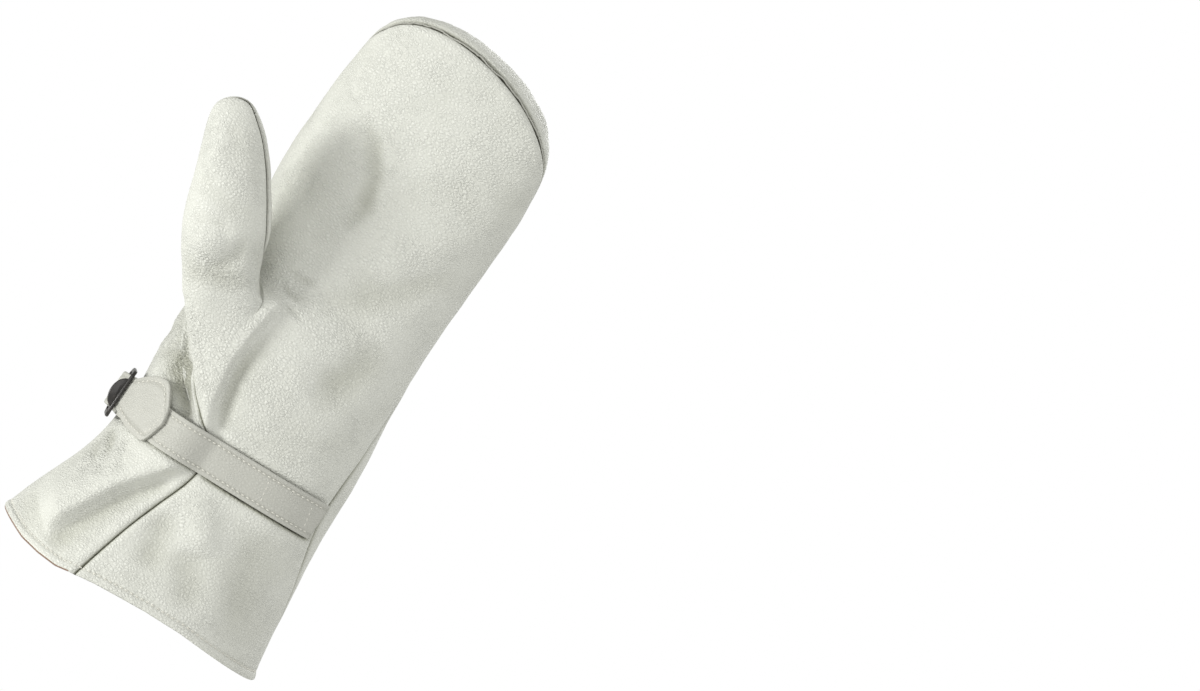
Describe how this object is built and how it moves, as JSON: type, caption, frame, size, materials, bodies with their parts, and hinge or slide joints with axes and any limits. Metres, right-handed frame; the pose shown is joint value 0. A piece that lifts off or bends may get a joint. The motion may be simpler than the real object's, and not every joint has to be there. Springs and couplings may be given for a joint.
{
  "type": "leather work mitten, left hand",
  "caption": "Left-hand leather work mitten, filled out and hollow, with an open cuff, a wrist strap and a slide buckle.",
  "frame": {"origin": "inside the wrist, on the middle line of the hand at the level of the strap, where the wearer's wrist holds the mitten", "axes": "+Z along the hand from the cuff to the fingertips, -Y out of the palm, -X to the thumb, +Y out of the back of the hand"},
  "size_m": [0.186, 0.1276, 0.3572],
  "materials": {
    "leather": "smooth fine-grain hide, undyed pale grey-white",
    "strap_leather": "the same hide, doubled and edge-stitched",
    "welt_leather": "thin strip of the same hide in the seams",
    "buckle_enamel": "black enamelled pressed steel, satin"
  },
  "bodies": {
    "root": {"palm_panel": "leather", "back_panel": "leather", "thumb_side_panel": "leather", "strap": "strap_leather", "buckle_loop": "strap_leather", "buckle": "buckle_enamel", "tip_welt": "welt_leather", "thumb_welt": "welt_leather"}
  },
  "joints": []
}
